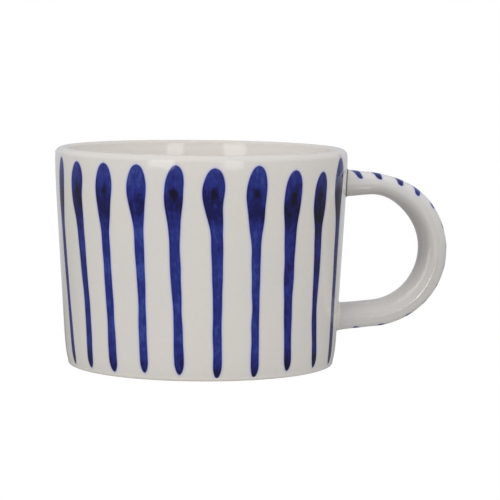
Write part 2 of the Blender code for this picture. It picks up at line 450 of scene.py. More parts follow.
bead = np.radians(np.linspace(-15.0, 195.0, 12))
crease = [(0.08 + CREASE * math.cos(turn), CREASE * math.sin(turn)) for turn in bead]
hollow = np.radians(np.linspace(0.0, 90.0, 8))
fillet = [(FILLET * (1 - math.sin(turn)), FILLET * (1 - math.cos(turn))) for turn in hollow]
fillet = [(FILLET + 0.1, -0.06)] + fillet + [(-0.06, FILLET + 0.1)]
upper_seam = lay_slip("upper_seam", UPPER_END, crease)
lower_seam = lay_slip("lower_seam", LOWER_END, fillet)
print("seams:", len(upper_seam.data.polygons) + len(lower_seam.data.polygons), "faces")

# %% [markdown]
# ## A film of paint
# Underglaze cobalt has no thickness to speak of, so it could be a pattern in the cup's material. A
# pattern that large needs a very fine image once the cup is exported, and the edges blur. Here each
# stroke is a film of its own, a few hundredths of a millimetre proud of the wall: its edge is as
# crisp as the brush left it, and each stroke keeps its own colour.
#
# Every film is a little larger than its stroke. Each point stores its distance from the stroke's
# edge, the depth, and the material turns that into bare glaze, a pale bleeding rim and full cobalt.

# %% Lay a film on a surface
BLEED = 1.1
FILM_EDGE, FILM_MIDDLE = 0.012, 0.035
OUTSIDE_STEPS = (1.0, 0.62, 0.3, 0.1)
INSIDE_STEPS = (0.0, 0.1, 0.26, 0.5, 0.75, 1.0)
SLIMMEST = 0.15
ALONG_STEP = 0.8
END_STEPS = (0.0, 0.12, 0.3, 0.55, 0.9, 1.4)
PAST_STEPS = (1.0, 0.8, 0.55, 0.3, 0.12)


def edge_distance(across, along, edge):
    """How far each point is from a closed line of points, in millimetres."""
    nearest = np.full(across.shape, np.inf)
    for (a0, b0), (a1, b1) in zip(edge, np.roll(edge, -1, axis=0)):
        da, db = a1 - a0, b1 - b0
        share = ((across - a0) * da + (along - b0) * db) / max(da * da + db * db, 1e-9)
        share = np.clip(share, 0.0, 1.0)
        nearest = np.minimum(nearest, np.hypot(across - a0 - share * da, along - b0 - share * db))
    return nearest


def lay_film(name, start, end, half_width, middle, surface, pools, seed, thin_glaze_and_painted_shade=None, dull=None):
    """A film of paint along a line from start down to end, in millimetres.

    half_width and middle give the stroke's half width and sideways place along the line, surface
    turns (across, along, lift) into a point, and pools gives how thickly the paint gathered.
    """
    ends = np.array(END_STEPS)
    body = np.linspace(start - 2.0, end + 2.0, max(4, round((start - end) / ALONG_STEP)))
    past = BLEED * np.array(PAST_STEPS)
    along = np.concatenate([start + past, start - ends, body, (end + ends)[::-1], (end - past)[::-1]])
    beyond = np.maximum(np.maximum(along - start, end - along), 0.0) / BLEED
    spread = BLEED * np.sqrt(np.clip(1.0 - beyond**2, 0.02, 1.0))
    half = np.maximum(half_width(np.clip(along, end, start)), SLIMMEST)
    right = [half + spread * outer for outer in OUTSIDE_STEPS]
    right += [half * (1 - inner) for inner in INSIDE_STEPS]
    left = [-column for column in right[:-1]]
    across = np.stack(left + right[::-1], axis=-1) + middle(along)[:, None]
    lengths = np.broadcast_to(along[:, None], across.shape)

    walk = np.linspace(start, end, 160)
    edge_right = np.stack([middle(walk) + half_width(walk), walk], axis=-1)
    edge_left = np.stack([middle(walk) - half_width(walk), walk], axis=-1)[::-1]
    inside = np.abs(across - middle(lengths)) < half_width(np.clip(lengths, end, start))
    inside &= (lengths < start) & (lengths > end)
    depth = edge_distance(across, lengths, np.concatenate([edge_right, edge_left]))
    depth = np.where(inside, depth, -depth)

    lift = FILM_EDGE + (FILM_MIDDLE - FILM_EDGE) * smoothstep(-BLEED, 0.8, depth)
    rows = surface(across, lengths, lift)
    marks = {
        "depth": depth,
        "pool": pools(across - middle(lengths), lengths, depth),
        "side": across - middle(lengths),
        "length": lengths,
        "seed": np.full(across.shape, float(seed)),
        "thin_glaze_and_painted_shade": np.zeros(across.shape) if thin_glaze_and_painted_shade is None else thin_glaze_and_painted_shade(across, lengths),
        "dull": np.zeros(across.shape) if dull is None else dull(across, lengths),
    }
    return close_film(name, rows, across, lengths, surface, marks)


def close_film(name, rows, across, lengths, surface, marks):
    """The film with side walls that run down into the surface under it."""
    framed = np.pad(rows, ((1, 1), (1, 1), (0, 0)), mode="edge")
    sunk = surface(np.pad(across, 1, mode="edge"), np.pad(lengths, 1, mode="edge"), -2 * FILM_EDGE)
    rim = np.ones(framed.shape[:2], bool)
    rim[1:-1, 1:-1] = False
    framed[rim] = sunk[rim]
    framed_marks = {mark: np.pad(values, 1, mode="edge") for mark, values in marks.items()}
    return make_sheet(name, framed, marks=framed_marks)


# %% [markdown]
# ## The shape of a stroke
# The painter loads a full round brush, presses it down under the rim, and draws it to the foot while
# lifting. So the head is half an oval, the stroke slims over a hand's width, runs almost even, and
# ends in a short point. Formulas with a few lengths say all of that. The strokes that face front have
# their own lengths, measured one by one, because each was painted a little differently. The painter's
# rhythm goes on round the back with lengths drawn from a seeded random source.

# %% Describe one stroke and lay it on the wall
STROKE_HEIGHTS = (66.0, 57.0, 49.0, 38.0, 20.0, 4.0)
POINT_LENGTH = 4.0
SWELL, SWAY = 0.07, 0.10
PUDDLE_ACROSS, PUDDLE_ALONG = 1.3, 1.9
NECK_POOL, NECK_DROP, NECK_SPREAD = 0.45, 6.5, 4.5
POINT_POOL, DRY_TOP = 0.45, 0.12


def through(places, values):
    """A smooth curve through a few values at falling places, as a function."""
    places, values = np.array(places, float)[::-1], np.array(values, float)[::-1]
    slopes = np.gradient(values, places)

    def curve(where):
        where = np.clip(where, places[0], places[-1])
        left = np.clip(np.searchsorted(places, where) - 1, 0, len(places) - 2)
        span = places[left + 1] - places[left]
        t = (where - places[left]) / span
        start = (1 + 2 * t) * (1 - t) ** 2 * values[left] + t * (1 - t) ** 2 * span * slopes[left]
        finish = t * t * (3 - 2 * t) * values[left + 1] + t * t * (t - 1) * span * slopes[left + 1]
        return start + finish

    return curve


def wander(seed):
    """A slow wander between about -1 and 1 along a stroke, from an unsteady hand."""
    source = random.Random(seed)
    waves = [(source.uniform(9.0, 30.0), source.uniform(0.0, math.tau)) for _ in range(4)]
    return lambda height: sum(np.sin(math.tau * height / length + phase) for length, phase in waves) / 4


def stroke_width(height, top, widest, neck, tip, head, stem, waist, foot):
    """The stroke's width at this height: an oval head, a neck, a stem and a point."""
    crown = head * np.sqrt(np.clip(1.0 - ((height - widest) / (top - widest)) ** 2, 0.0, 1.0))
    stalk = np.interp(height, [10.0, 22.0, neck], [foot, waist, stem])
    body = stalk + (head - stalk) * smoothstep(neck, widest, height)
    width = np.where(height > widest, crown, body)
    falling = np.clip((tip + POINT_LENGTH - height) / POINT_LENGTH, 0.0, 1.0)
    return width * (1.0 - falling**2) ** 0.55


def paint_stroke(name, angles, top, widest, neck, tip, head, stem, waist, foot, puddle, load, seed):
    """One stroke down the wall.

    angles are where its middle runs at STROKE_HEIGHTS, in degrees, puddle is (side, height, amount),
    and load is how much paint the brush held, above or below the usual.
    """
    run = through(STROKE_HEIGHTS, angles)
    home = math.radians(angles[1])

    swell, sway = wander(seed), wander(seed + 0.5)

    def half_width(height):
        width = stroke_width(height, top, widest, neck, tip, head, stem, waist, foot)
        return width / 2 * (1.0 + SWELL * swell(height))

    def middle(height):
        return (np.radians(run(height)) - home) * wall_radius(height) + SWAY * sway(height)

    def on_wall(across, height, lift):
        return cup_point(home + across / wall_radius(height), wall_radius(height) + lift, height)

    def pools(side, height, depth):
        spot = np.exp(
            -((side - puddle[0]) / PUDDLE_ACROSS) ** 2 - ((height - puddle[1]) / PUDDLE_ALONG) ** 2
        )
        neck_pool = NECK_POOL * bell(height, widest - NECK_DROP, NECK_SPREAD)
        point = POINT_POOL * smoothstep(tip + 8.0, tip + 1.0, height)
        dry_top = -DRY_TOP * smoothstep(widest + 1.0, top, height)
        return puddle[2] * spot + neck_pool + point + dry_top + load

    return lay_film(name, top, tip, half_width, middle, on_wall, pools, seed)


# %% [markdown]
# ## The front strokes
# Each pair of lines is one measured stroke: six angles for the way it wanders down the wall, the heights of
# its top, its widest place, the end of its neck and its tip, its width at the head, below the neck,
# at a third of the height and near the foot, where and how much the cobalt puddled in the head, and
# how loaded the brush was.

# %% Paint the strokes that face front
FRONT_STROKES = (
    ((-69.8, -70.9, -71.1, -70.4, -68.6, -67.0), 68.1, 61.0, 45.0, 1.7,
     5.4, 3.3, 2.6, 2.8, (0.0, 60.0, 0.2), 0.22),
    ((-55.5, -56.3, -54.9, -53.9, -52.3, -52.4), 67.4, 60.0, 43.0, 1.8,
     6.6, 3.6, 2.9, 2.9, (0.3, 58.5, 0.5), 0.12),
    ((-39.8, -40.3, -40.1, -39.6, -38.8, -38.4), 67.6, 60.0, 44.5, 1.6,
     6.8, 3.3, 3.0, 3.2, (0.4, 59.0, 0.75), 0.00),
    ((-25.0, -25.3, -24.6, -24.2, -23.7, -23.6), 67.6, 60.5, 46.0, 2.2,
     6.8, 3.4, 2.6, 2.8, (0.5, 57.5, 0.4), -0.12),
    ((-9.6, -10.5, -10.3, -10.0, -9.1, -8.6), 67.7, 61.0, 42.0, 2.0,
     6.0, 3.5, 2.9, 3.0, (-0.2, 59.0, 0.75), 0.00),
    ((5.1, 4.5, 5.7, 6.3, 6.6, 6.8), 66.9, 60.3, 44.5, 1.0,
     6.9, 3.9, 2.9, 2.8, (0.2, 59.0, 0.8), 0.00),
    ((22.0, 21.3, 21.5, 21.8, 22.2, 22.6), 67.6, 60.0, 39.5, 1.0,
     6.9, 3.2, 2.5, 2.8, (0.2, 59.0, 0.85), -0.03),
    ((38.3, 37.5, 36.9, 36.9, 37.3, 38.4), 65.9, 58.5, 41.0, 2.2,
     6.9, 4.4, 3.3, 2.9, (0.2, 57.0, 0.7), 0.14),
    ((54.1, 52.9, 52.5, 52.9, 53.0, 55.1), 64.9, 57.3, 43.0, 2.0,
     6.6, 3.9, 2.6, 2.7, (0.0, 57.0, 0.5), 0.30),
    ((69.4, 68.5, 69.2, 69.7, 70.3, 71.3), 68.7, 60.5, 45.0, 1.7,
     7.5, 3.9, 3.2, 3.5, (0.0, 57.0, 0.3), 0.32),
)

strokes = [
    paint_stroke(f"stroke_{number:02d}", *values, seed=number)
    for number, values in enumerate(FRONT_STROKES, start=1)
]
print("front strokes:", len(strokes))

# %% [markdown]
# ## The strokes round the back
# Behind the handle's zone the rhythm starts again and closes the round. Their lengths vary as much as
# those in front do.

# %% Paint the strokes round the back
hand = random.Random(7)
BACK_START, BACK_END, BACK_COUNT = 108.0, 272.0, 11
BACK_LOAD = 0.05


def back_stroke(number, angle):
    """A stroke whose lengths are drawn at random around the painter's habit."""
    lean = hand.uniform(-0.6, 1.6)
    bow = hand.uniform(-0.5, 0.5)
    angles = [angle, angle - bow, angle, angle + bow, angle + lean / 2, angle + lean]
    top = hand.uniform(66.6, 68.2)
    widest = hand.uniform(59.5, 61.0)
    neck = hand.uniform(42.0, 47.0)
    tip = hand.uniform(1.3, 2.6)
    head = hand.uniform(6.2, 7.0)
    stem = hand.uniform(3.3, 4.1)
    waist = hand.uniform(2.5, 3.2)
    foot = hand.uniform(2.7, 3.2)
    puddle = (hand.uniform(-0.4, 0.5), hand.uniform(57.5, 59.5), hand.uniform(0.5, 1.0))
    name = f"stroke_{number:02d}"
    lengths = (top, widest, neck, tip, head, stem, waist, foot)
    return paint_stroke(name, angles, *lengths, puddle, BACK_LOAD, number)


pitch = (BACK_END - BACK_START) / (BACK_COUNT - 1)
for step in range(BACK_COUNT):
    place = BACK_START + step * pitch + hand.uniform(-1.0, 1.0)
    strokes.append(back_stroke(len(strokes) + 1, place))
print("strokes in all:", len(strokes))

# %% [markdown]
# ## Dabs across the handle
# Short dabs cross the back of the handle at an even pace. The brush lands on the side that faces
# front, where the dab is round and full, and is pulled over the back, where it thins out. On the
# handle, across runs along the roll and along runs round it, so the same film function serves.

# %% Dab the handle
DABS = (
    (102.5, 65.0, 27.0),
    (85.0, 60.0, 25.0),
    (67.0, 58.0, 22.0),
    (52.0, 54.0, 22.0),
    (35.5, 31.0, 20.0),
    (19.0, 24.0, 20.0),
    (4.0, 22.0, 20.0),
    (-11.0, 22.0, 20.0),
    (-26.0, 24.0, 20.0),
    (-41.0, 26.0, 20.0),
    (-55.5, 34.0, 20.0),
    (-77.0, 36.0, 20.0),
    (-98.5, 37.0, 18.0),
)
DAB_WIDTH = 2.0
DAB_SPREAD = 0.45
DAB_TAIL = 4.6
DAB_NOSE = 0.85


def dab_handle(name, bend, reach_deg, slant_deg, seed):
    """One dab over the handle's back at this bend, reaching down the front side to a turn of reach_deg."""
    half = roll_thickness(bend) / 2
    girth = half * (1 + ROLL_WIDTH_RATIO) / 2
    front = math.radians(reach_deg) * girth
    slant = math.tan(math.radians(slant_deg))
    per_bend = math.radians(1.0) * (RING_RADIUS + half)

    def half_width(along):
        body = 1.0 + DAB_SPREAD * smoothstep(front, 0.0, along) - 0.9 * smoothstep(-0.5, -DAB_TAIL, along)
        near_tip = np.clip((front - along) / DAB_NOSE, 0.0, 1.0)
        nose = np.sqrt(near_tip * (2.0 - near_tip))
        tail = np.sqrt(np.clip((along + DAB_TAIL) / 0.6, 0.0, 1.0))
        return DAB_WIDTH / 2 * body * nose * tail

    def middle(along):
        return slant * along

    def on_roll(across, along, lift):
        return roll_point(bend - across / per_bend, along / girth, lift)

    def pools(side, along, depth):
        return 0.35 * smoothstep(front - 3.0, front - 0.5, along)

    # The glaze beside each dab carries the handle's painted shade.
    def thin_glaze_and_painted_shade(across, along):
        return painted_shade_on_roll(bend - across / per_bend, along / girth)

    def dull(across, along):
        return dull_on_roll(bend - across / per_bend, along / girth)

    return lay_film(name, front, -DAB_TAIL, half_width, middle, on_roll, pools, seed, thin_glaze_and_painted_shade, dull)


dabs = [
    dab_handle(f"dab_{number:02d}", *values, seed=40 + number)
    for number, values in enumerate(DABS, start=1)
]
print("dabs:", len(dabs))

# %% [markdown]
# ## Finishes
# A glaze reads as glass over a quiet, slightly uneven ground, so it needs very little: a warm white
# that drifts by a few parts in a hundred, a few iron specks, a surface that swells by hundredths of a
# millimetre, and clean reflections. Small helpers keep the node graphs short enough to read: each
# adds one node, and takes either a plain value or another node's output for every input.

# %% Helpers for node graphs


def start_finish(name):
    """A new material, its node tree and its shader."""
    material = bpy.data.materials.new(name)
    material.use_nodes = True
    return material, material.node_tree, material.node_tree.nodes["Principled BSDF"]


def node(tree, kind, output=0, inputs=None, **settings):
    """Adds a node and returns one of its outputs. An input that is itself an output gets a link."""
    made = tree.nodes.new(kind)
    for setting, value in settings.items():
        setattr(made, setting, value)
    for key, value in (inputs or {}).items():
        if isinstance(value, bpy.types.NodeSocket):
            tree.links.new(value, made.inputs[key])
        else:
            made.inputs[key].default_value = value
    return made.outputs[output]


def clouds(tree, where, scale, detail=2.0, roughness=0.5):
    """Soft noise from 0 to 1, with this many blotches to the metre."""
    inputs = {"Vector": where, "Scale": scale, "Detail": detail, "Roughness": roughness}
    return node(tree, "ShaderNodeTexNoise", 0, inputs)


def sums(tree, operation, first, second=0.0, clamp=False):
    return node(tree, "ShaderNodeMath", 0, {0: first, 1: second}, operation=operation, use_clamp=clamp)


def glide(tree, value, low, high, start=0.0, finish=1.0):
    """Carries a value from the span low..high to start..finish, with soft ends."""
    inputs = {"Value": value, "From Min": low, "From Max": high, "To Min": start, "To Max": finish}
    return node(tree, "ShaderNodeMapRange", 0, inputs, interpolation_type="SMOOTHSTEP")


def blend(tree, share, first, second):
    """A colour between two colours."""
    made = tree.nodes.new("ShaderNodeMix")
    made.data_type = "RGBA"
    for socket, value in ((made.inputs[0], share), (made.inputs[6], first), (made.inputs[7], second)):
        if isinstance(value, bpy.types.NodeSocket):
            tree.links.new(value, socket)
        else:
            socket.default_value = (*value, 1.0) if isinstance(value, tuple) else value
    return made.outputs[2]


def mark(tree, name):
    """A number that the mesh stores on its points."""
    return node(tree, "ShaderNodeAttribute", 2, attribute_name=name)


# %% [markdown]
# ## The white glaze
# The drift of the ground is object-sized and fine-grained noise at once. The specks come from a
# scattering of cells, of which only a few reach the surface. The relief is a slow swell plus a very
# fine ripple. Where the mesh marks it, the colour goes darker and warmer where the glaze runs thinly
# over the lip's crown, and darker as painted shade on the inside and the side of the handle. The
# inside of the cup is painted lighter, as painted light. The paint shows this same ground beside its
# strokes, so the graph is a function that both finishes call.

# %% Mix the white glaze
GLAZE_WARM = (0.690, 0.662, 0.625)
GLAZE_COOL = (0.672, 0.656, 0.635)
GLAZE_THIN = (0.600, 0.565, 0.530)
# Painted light: the lighter colour that the inside of the cup is painted with.
GLAZE_PAINTED_LIGHT_INSIDE = (0.775, 0.745, 0.705)
SHINE, DULL = 0.07, 0.32  # roughness where the glaze is clean, and where the mesh is marked dull
GLAZE_IOR = 1.5
HANDLE_WARM, HANDLE_COOL = (0.682, 0.662, 0.636), (0.668, 0.660, 0.650)
# Painted shade: the colour that the inside and the side of the handle are painted towards.
HANDLE_PAINTED_SHADE = (0.395, 0.387, 0.375)
SPECK = (0.36, 0.29, 0.22)


def white_ground(tree, warm=GLAZE_WARM, cool=GLAZE_COOL):
    """The colour of the bare glaze and its relief, for any piece of the mug."""
    where = node(tree, "ShaderNodeTexCoord", 3)
    drift = glide(tree, clouds(tree, where, 46.0, 3.0), 0.3, 0.7)
    colour = blend(tree, drift, warm, cool)
    grain = glide(tree, clouds(tree, where, 900.0, 2.0), 0.25, 0.75, 0.0, 0.35)
    colour = blend(tree, grain, colour, tuple(0.93 * part for part in warm))
    cells = {"Vector": where, "Scale": 260.0}
    speck = glide(tree, node(tree, "ShaderNodeTexVoronoi", 0, cells), 0.05, 0.02)
    chosen = glide(tree, clouds(tree, where, 120.0, 0.0), 0.60, 0.64, 0.0, 0.55)
    colour = blend(tree, sums(tree, "MULTIPLY", speck, chosen), colour, SPECK)
    slow = {"Strength": 1.0, "Distance": 0.00006, "Height": clouds(tree, where, 75.0)}
    swell = node(tree, "ShaderNodeBump", 0, slow)
    ripple = {"Strength": 1.0, "Distance": 0.000004, "Height": clouds(tree, where, 650.0), "Normal": swell}
    return colour, node(tree, "ShaderNodeBump", 0, ripple)


def mix_glaze(name, warm=GLAZE_WARM, cool=GLAZE_COOL, thin_glaze_and_painted_shade=GLAZE_THIN, roughness=SHINE):
    """A clear glaze over white stoneware: warmer where the glaze runs thinly, darker where painted shade is
    marked, lighter where painted light is marked.
    """
    material, tree, shader = start_finish(name)
    ground, relief = white_ground(tree, warm, cool)
    # The first mark is thinly run glaze on the cup's lip and painted shade on the handle.
    colour = blend(tree, mark(tree, "thin_glaze_and_painted_shade"), ground, thin_glaze_and_painted_shade)
    # Painted light: the inside of the cup is painted lighter.
    colour = blend(tree, mark(tree, "painted_light_inside"), colour, GLAZE_PAINTED_LIGHT_INSIDE)
    tree.links.new(colour, shader.inputs["Base Color"])
    tree.links.new(relief, shader.inputs["Normal"])
    tree.links.new(glide(tree, mark(tree, "dull"), 0.0, 1.0, roughness, DULL), shader.inputs["Roughness"])
    shader.inputs["IOR"].default_value = GLAZE_IOR
    return material


cup_glaze = mix_glaze("white_glaze")
handle_glaze = mix_glaze("handle_glaze", HANDLE_WARM, HANDLE_COOL, HANDLE_PAINTED_SHADE)
glazed_cup.data.materials.append(cup_glaze)
ring_handle.data.materials.append(handle_glaze)
print("glazes:", cup_glaze.name, handle_glaze.name)

# %% [markdown]
# ## The cobalt
# Cobalt is strong where the brush left much of it and clear blue where it dragged. The density has
# four causes, which add up: how the paint pooled, which the mesh stores, the hairs' long streaks, a
# slow drift down the stroke, and the line of pigment that dries along the edge. It picks a colour
# between a washed blue and a blue near to black. Outside the edge a pale rim bleeds into the glaze.

# %% Mix the cobalt
COBALT_WASHED = (0.032, 0.055, 0.270)
COBALT = (0.014, 0.022, 0.185)
COBALT_DEEP = (0.006, 0.006, 0.080)
COBALT_BLACK = (0.002, 0.002, 0.018)
BLEED_TINT = (0.470, 0.490, 0.740)
FRINGE_REACH, FRINGE_TINT = 1.05, 0.70


def brushed_density(tree):
    """How densely the cobalt lies, from about 0 to 1."""
    side, length, seed = mark(tree, "side"), mark(tree, "length"), mark(tree, "seed")
    hairs = {0: sums(tree, "MULTIPLY", side, 1.5), 1: sums(tree, "MULTIPLY", length, 0.10), 2: seed}
    streaks = clouds(tree, node(tree, "ShaderNodeCombineXYZ", 0, hairs), 1.0, 3.0, 0.6)
    slow = {0: sums(tree, "MULTIPLY", side, 0.3), 1: sums(tree, "MULTIPLY", length, 0.16), 2: seed}
    drift = clouds(tree, node(tree, "ShaderNodeCombineXYZ", 0, slow), 1.0, 1.0)
    mottle = {0: side, 1: sums(tree, "MULTIPLY", length, 0.7), 2: seed}
    mottle = clouds(tree, node(tree, "ShaderNodeCombineXYZ", 0, mottle), 0.8, 2.0)
    depth = mark(tree, "depth")
    rising = glide(tree, depth, -0.05, 0.25)
    line = sums(tree, "MULTIPLY", rising, glide(tree, depth, 0.2, 0.6, 0.2, 0.0))
    density = sums(tree, "ADD", mark(tree, "pool"), glide(tree, streaks, 0.3, 0.7, 0.10, 0.30))
    density = sums(tree, "ADD", density, glide(tree, drift, 0.3, 0.7, 0.0, 0.24))
    density = sums(tree, "ADD", density, glide(tree, mottle, 0.3, 0.7, -0.1, 0.12))
    return sums(tree, "ADD", density, line, clamp=True)


def mix_cobalt(name, warm=GLAZE_WARM, cool=GLAZE_COOL, thin_glaze_and_painted_shade=GLAZE_THIN):
    """Cobalt brushed under the glaze, with the bare glaze around it."""
    material, tree, shader = start_finish(name)
    ground, relief = white_ground(tree, warm, cool)
    depth = mark(tree, "depth")
    # On the handle this mark is painted shade, so the glaze beside each dab is painted as dark as the handle
    # around it.
    ground = blend(tree, mark(tree, "thin_glaze_and_painted_shade"), ground, thin_glaze_and_painted_shade)
    ground = blend(tree, glide(tree, depth, -FRINGE_REACH, 0.0, 0.0, FRINGE_TINT), ground, BLEED_TINT)
    density = brushed_density(tree)
    blue = blend(tree, glide(tree, density, 0.0, 0.4), COBALT_WASHED, COBALT)
    blue = blend(tree, glide(tree, density, 0.4, 0.75), blue, COBALT_DEEP)
    blue = blend(tree, glide(tree, density, 0.8, 1.0), blue, COBALT_BLACK)
    colour = blend(tree, glide(tree, depth, -0.2, 0.2), ground, blue)
    tree.links.new(colour, shader.inputs["Base Color"])
    tree.links.new(relief, shader.inputs["Normal"])
    tree.links.new(glide(tree, mark(tree, "dull"), 0.0, 1.0, SHINE, DULL), shader.inputs["Roughness"])
    shader.inputs["IOR"].default_value = GLAZE_IOR
    return material


cobalt = mix_cobalt("cobalt_under_glaze")
handle_cobalt = mix_cobalt("cobalt_on_handle", HANDLE_WARM, HANDLE_COOL, HANDLE_PAINTED_SHADE)
for stroke in strokes:
    stroke.data.materials.append(cobalt)
for dab in dabs:
    dab.data.materials.append(handle_cobalt)
print("cobalt on", len(strokes) + len(dabs), "pieces")

# %% [markdown]
# ## Bare clay and slip
# The foot shows the body itself: a sandy stoneware, matt, with darker grains and a rubbed, uneven
# surface. The slip at the joints took the glaze badly, so it is duller than the rest. Where the
# hairline stayed open it is dark, partly dirt and partly painted shade in the crease.

# %% Mix the bare clay and the slip
CLAY_LIGHT, CLAY_DARK, CLAY_GRAIN = (0.50, 0.41, 0.30), (0.40, 0.31, 0.22), (0.20, 0.15, 0.11)


def mix_bare_clay(name):
    """Unglazed stoneware: mottled, grainy and matt."""
    material, tree, shader = start_finish(name)
    where = node(tree, "ShaderNodeTexCoord", 3)
    mottle = glide(tree, clouds(tree, where, 240.0, 4.0), 0.3, 0.7)
    colour = blend(tree, mottle, CLAY_LIGHT, CLAY_DARK)
    grain = glide(tree, clouds(tree, where, 2600.0, 2.0), 0.60, 0.70, 0.0, 0.7)
    colour = blend(tree, grain, colour, CLAY_GRAIN)
    tree.links.new(colour, shader.inputs["Base Color"])
    rough = {"Strength": 0.8, "Distance": 0.00008, "Height": clouds(tree, where, 1800.0, 4.0, 0.7)}
    tree.links.new(node(tree, "ShaderNodeBump", 0, rough), shader.inputs["Normal"])
    shader.inputs["Roughness"].default_value = 0.88
    return material


def mix_slip(name, light, dark, roughness):
    """Slip that took the glaze badly."""
    material, tree, shader = start_finish(name)
    where = node(tree, "ShaderNodeTexCoord", 3)
    colour = blend(tree, glide(tree, clouds(tree, where, 420.0, 3.0), 0.35, 0.65), light, dark)
    tree.links.new(colour, shader.inputs["Base Color"])
    rough = {"Strength": 0.6, "Distance": 0.00003, "Height": clouds(tree, where, 1500.0, 3.0)}
    tree.links.new(node(tree, "ShaderNodeBump", 0, rough), shader.inputs["Normal"])
    shader.inputs["Roughness"].default_value = roughness
    return material


bare_foot.data.materials.append(mix_bare_clay("bare_stoneware"))
# The open seam's dark colour is partly dirt and partly painted shade in the crease.
upper_seam.data.materials.append(mix_slip("open_seam_dirt_and_painted_shade", (0.16, 0.15, 0.14), (0.24, 0.21, 0.18), 0.5))
lower_seam.data.materials.append(mix_slip("smoothed_slip", (0.68, 0.65, 0.615), (0.64, 0.61, 0.575), 0.12))
print("finishes:", len(bpy.data.materials))

# %% [markdown]
# ## Which piece stands for what
# Every piece rides on the mug's one body. The three made surfaces and the two seams replace the plain
# solids of the frame, and the paint belongs to nothing but itself.

# %% Tie the pieces to the frame
replaced = {
    glazed_cup: ("cup_body", "glazed_stoneware"),
    bare_foot: ("foot_ring", "bare_stoneware"),
    ring_handle: ("handle", "glazed_stoneware"),
    upper_seam: ("upper_slip_joint", "joining_slip"),
    lower_seam: ("lower_slip_joint", "joining_slip"),
}
for piece, (cad_node, finish) in replaced.items():
    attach(piece, "root")
    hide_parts(cad_node)
for piece in strokes + dabs:
    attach(piece, "root")
print("pieces tied:", len(replaced) + len(strokes) + len(dabs))

# %% [markdown]
# ## The table and the light
# The mug stands on a white sheet in a soft white room. Two upright soft boxes stand left and right of
# the camera: they draw the two pale windows inside the far wall and on the rim. A small bright card
# lies low in front of the handle and glints along its fettled edges. The room gives the rest, a cool
# even grey that the edges of the cup mirror, brightest straight behind the mug. The sheet looks white
# to the camera, yet a glossy wall that mirrors it must not wash the cobalt out, so the sheet is a
# quieter grey to every ray but the camera's.

# %% Lay the white sheet
SHEET_RADIUS = 1.2
SHEET_CORNERS = 96
shape = bmesh.new()
sheet_turns = [corner * math.tau / SHEET_CORNERS for corner in range(SHEET_CORNERS)]
shape.faces.new([
    shape.verts.new((AXIS_X + SHEET_RADIUS * math.cos(turn), SHEET_RADIUS * math.sin(turn), 0.0))
    for turn in sheet_turns
])
sheet_mesh = bpy.data.meshes.new("white_sheet")
shape.to_mesh(sheet_mesh)
shape.free()
white_sheet = bpy.data.objects.new("white_sheet", sheet_mesh)
bpy.context.scene.collection.objects.link(white_sheet)

# The sheet glows instead of reflecting: this tone is painted bounce light that it sends up onto the mug.
SHEET_BOUNCE_GLOW = (0.645, 0.635, 0.62, 1.0)
MIRRORED_FRONT, MIRRORED_BACK = (0.24, 0.24, 0.25), (0.56, 0.57, 0.64)
MIRRORED_FAR = (0.42, 0.43, 0.47)
BACKDROP = 0.74, 0.94
WHITE = (1.0, 1.0, 1.0, 1.0)
paper = bpy.data.materials.new("paper")
paper.use_nodes = True
tree = paper.node_tree
tree.nodes.clear()
place = node(tree, "ShaderNodeTexCoord", 3)
away = node(tree, "ShaderNodeVectorMath", 1, {0: place}, operation="LENGTH")
straight = node(tree, "ShaderNodeVectorMath", 0, {0: place}, operation="NORMALIZE")
behind = node(tree, "ShaderNodeSeparateXYZ", 1, {0: straight})
tone = blend(tree, glide(tree, away, 0.3, 1.2), MIRRORED_FRONT, MIRRORED_FAR)
tone = blend(tree, glide(tree, behind, *BACKDROP), tone, MIRRORED_BACK)
# All three tones glow: painted bounce light to diffuse rays, a painted reflection tone to glossy rays, darker
# in front and brightest behind, and plain white to the camera.
lit = node(tree, "ShaderNodeEmission", 0, {"Color": SHEET_BOUNCE_GLOW})
mirrored = node(tree, "ShaderNodeEmission", 0, {"Color": tone})
shown = node(tree, "ShaderNodeEmission", 0, {"Color": WHITE})
in_glaze = node(tree, "ShaderNodeLightPath", "Is Glossy Ray")
to_camera = node(tree, "ShaderNodeLightPath", "Is Camera Ray")
seen = node(tree, "ShaderNodeMixShader", 0, {0: in_glaze, 1: lit, 2: mirrored})
seen = node(tree, "ShaderNodeMixShader", 0, {0: to_camera, 1: seen, 2: shown})
tree.links.new(seen, tree.nodes.new("ShaderNodeOutputMaterial").inputs[0])
sheet_mesh.materials.append(paper)
print("sheet:", SHEET_RADIUS * 2, "m across")

# %% Set the room and the soft boxes
ROOM_LIT, ROOM_LIT_SIDE = (0.59, 0.585, 0.59), (0.95, 0.95, 0.96)
MIRRORED_HIGH = (0.53, 0.54, 0.60)
world = bpy.data.worlds.new("white_room")
world.use_nodes = True
bpy.context.scene.world = world
tree = world.node_tree
tree.nodes.clear()
direction = node(tree, "ShaderNodeTexCoord", 0)
behind = node(tree, "ShaderNodeSeparateXYZ", 1, {0: direction})
upward = node(tree, "ShaderNodeSeparateXYZ", 2, {0: direction})
sideways = sums(tree, "ABSOLUTE", node(tree, "ShaderNodeSeparateXYZ", 0, {0: direction}))
sideways = sums(tree, "MULTIPLY", sideways, sums(tree, "SUBTRACT", 1.0, upward))
tone = blend(tree, glide(tree, behind, *BACKDROP), MIRRORED_FAR, MIRRORED_BACK)
tone = blend(tree, glide(tree, upward, 0.0, 0.4), tone, MIRRORED_HIGH)
room = blend(tree, glide(tree, sideways, 0.2, 0.9), ROOM_LIT, ROOM_LIT_SIDE)
lit = node(tree, "ShaderNodeBackground", 0, {"Color": room})
mirrored = node(tree, "ShaderNodeBackground", 0, {"Color": tone})
shown = node(tree, "ShaderNodeBackground", 0, {"Color": WHITE})
in_glaze = node(tree, "ShaderNodeLightPath", "Is Glossy Ray")
